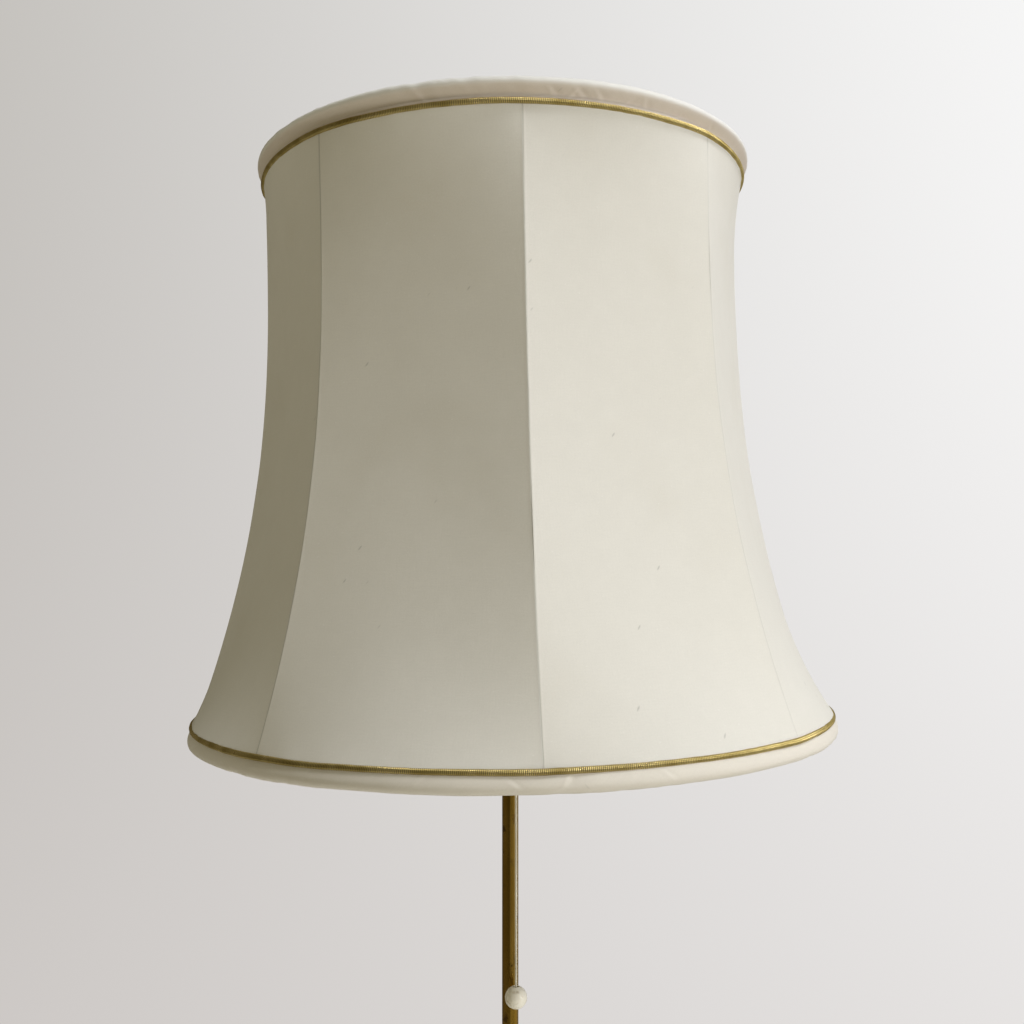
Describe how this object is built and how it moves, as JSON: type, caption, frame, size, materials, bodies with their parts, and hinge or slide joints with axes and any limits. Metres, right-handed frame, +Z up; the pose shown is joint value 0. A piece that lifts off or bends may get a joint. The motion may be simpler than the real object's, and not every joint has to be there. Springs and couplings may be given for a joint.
{
  "type": "floor_lamp",
  "caption": "Floor lamp with a straight slim brass pole, a waisted ribbed cream fabric shade with gold piping, and a pull-cord switch ending in a cream ball",
  "frame": {"origin": "Middle of the base's flat underside, on the floor and on the pole's axis", "axes": "+Z points up along the pole. -Y is the lamp's front, where the pull cord hangs. +X is to the right seen from the front"},
  "size_m": [0.5029, 0.503, 1.6028],
  "materials": {
    "aged_brass": "aged lacquered brass with a dull olive-brown tarnish",
    "bright_brass": "plain brass, lightly dulled",
    "zinc_steel": "zinc-plated steel",
    "steel_wire": "plated steel wire, spot welded",
    "iron": "rough casting with a thin black paint",
    "felt": "dark green-grey pressed felt",
    "black_plastic": "moulded black plastic",
    "lead_sheath": "smooth cream-gold sheath",
    "porcelain": "white glazed porcelain",
    "opal_glass": "white opal glass",
    "shade_cloth": "cream plain-weave cloth, stretched on the frame",
    "lining_cloth": "ivory lining cloth",
    "trim_cloth": "bias strip of the shade's cloth, rolled and gathered",
    "gold_cord": "twisted gold-coloured gimp cord",
    "cream_cord": "braided cream cord",
    "cream_ball": "cream ball, worn semi-gloss"
  },
  "bodies": {
    "stand": {"base_cover": "aged_brass", "base_collar": "aged_brass", "pole_lower": "aged_brass", "pole_middle": "aged_brass", "pole_upper": "aged_brass", "joint_ring_lower": "aged_brass", "joint_ring_upper": "aged_brass", "pole_cap": "aged_brass", "switch_cup": "aged_brass", "switch_lid": "aged_brass", "lampholder_cap": "aged_brass", "lampholder_shell": "aged_brass", "cord_bush": "bright_brass", "centre_contact": "bright_brass", "screw_sleeve": "bright_brass", "harp": "bright_brass", "harp_stud": "bright_brass", "base_washer": "zinc_steel", "base_locknut": "zinc_steel", "base_nipple": "zinc_steel", "joint_nipple_lower": "zinc_steel", "joint_nipple_upper": "zinc_steel", "top_nipple": "zinc_steel", "harp_locknut": "zinc_steel", "harp_saddle": "zinc_steel", "base_weight": "iron", "base_felt": "felt", "lead_bushing": "black_plastic", "switch_body": "black_plastic", "inner_lead": "lead_sheath", "lampholder_insulator": "porcelain"},
    "shade": {"spider": "steel_wire", "shade_frame": "steel_wire", "shade_panel_1": "shade_cloth", "shade_panel_2": "shade_cloth", "shade_panel_3": "shade_cloth", "shade_panel_4": "shade_cloth", "shade_panel_5": "shade_cloth", "shade_panel_6": "shade_cloth", "shade_panel_7": "shade_cloth", "shade_panel_8": "shade_cloth", "shade_lining": "lining_cloth", "top_piping": "gold_cord", "bottom_piping": "gold_cord", "top_trim": "trim_cloth", "bottom_trim": "trim_cloth"},
    "finial": {"finial": "bright_brass"},
    "bulb": {"bulb_cap": "zinc_steel", "bulb_glass": "opal_glass"},
    "left_ferrule": {"harp_ferrule_left": "bright_brass"},
    "right_ferrule": {"harp_ferrule_right": "bright_brass"},
    "plunger": {"switch_plunger": "bright_brass"},
    "pull": {"pull_cord": "cream_cord", "pull_ball": "cream_ball"}
  },
  "joints": [
    {"name": "shade_turn", "type": "hinge", "parent": "stand", "child": "shade", "pos_m": [0, 0, 1.265], "axis": [-0.0181, 0, 0.9998], "continuous": true},
    {"name": "finial_unscrew", "type": "hinge", "parent": "stand", "child": "finial", "pos_m": [0, 0, 1.265], "axis": [-0.0181, 0, 0.9998], "range_deg": [0, 1800]},
    {"name": "bulb_unscrew", "type": "hinge", "parent": "stand", "child": "bulb", "pos_m": [0, 0, 1.3], "axis": [0, 0, 1], "range_deg": [0, 900]},
    {"name": "left_ferrule_lift", "type": "slide", "parent": "stand", "child": "left_ferrule", "axis": [-0.0181, 0, 0.9998], "range_m": [0, 0.012]},
    {"name": "right_ferrule_lift", "type": "slide", "parent": "stand", "child": "right_ferrule", "axis": [-0.0181, 0, 0.9998], "range_m": [0, 0.012]},
    {"name": "switch_pull", "type": "slide", "parent": "stand", "child": "plunger", "axis": [0, 0, -1], "range_m": [0, 0.006], "stiffness_N_per_m": 600, "springref_m": -0.003},
    {"name": "cord_swing", "type": "hinge", "parent": "plunger", "child": "pull", "pos_m": [0.00433, -0.01799, 1.2142], "axis": [0.2338, -0.9723, 0], "range_deg": [-15, 15]}
  ]
}
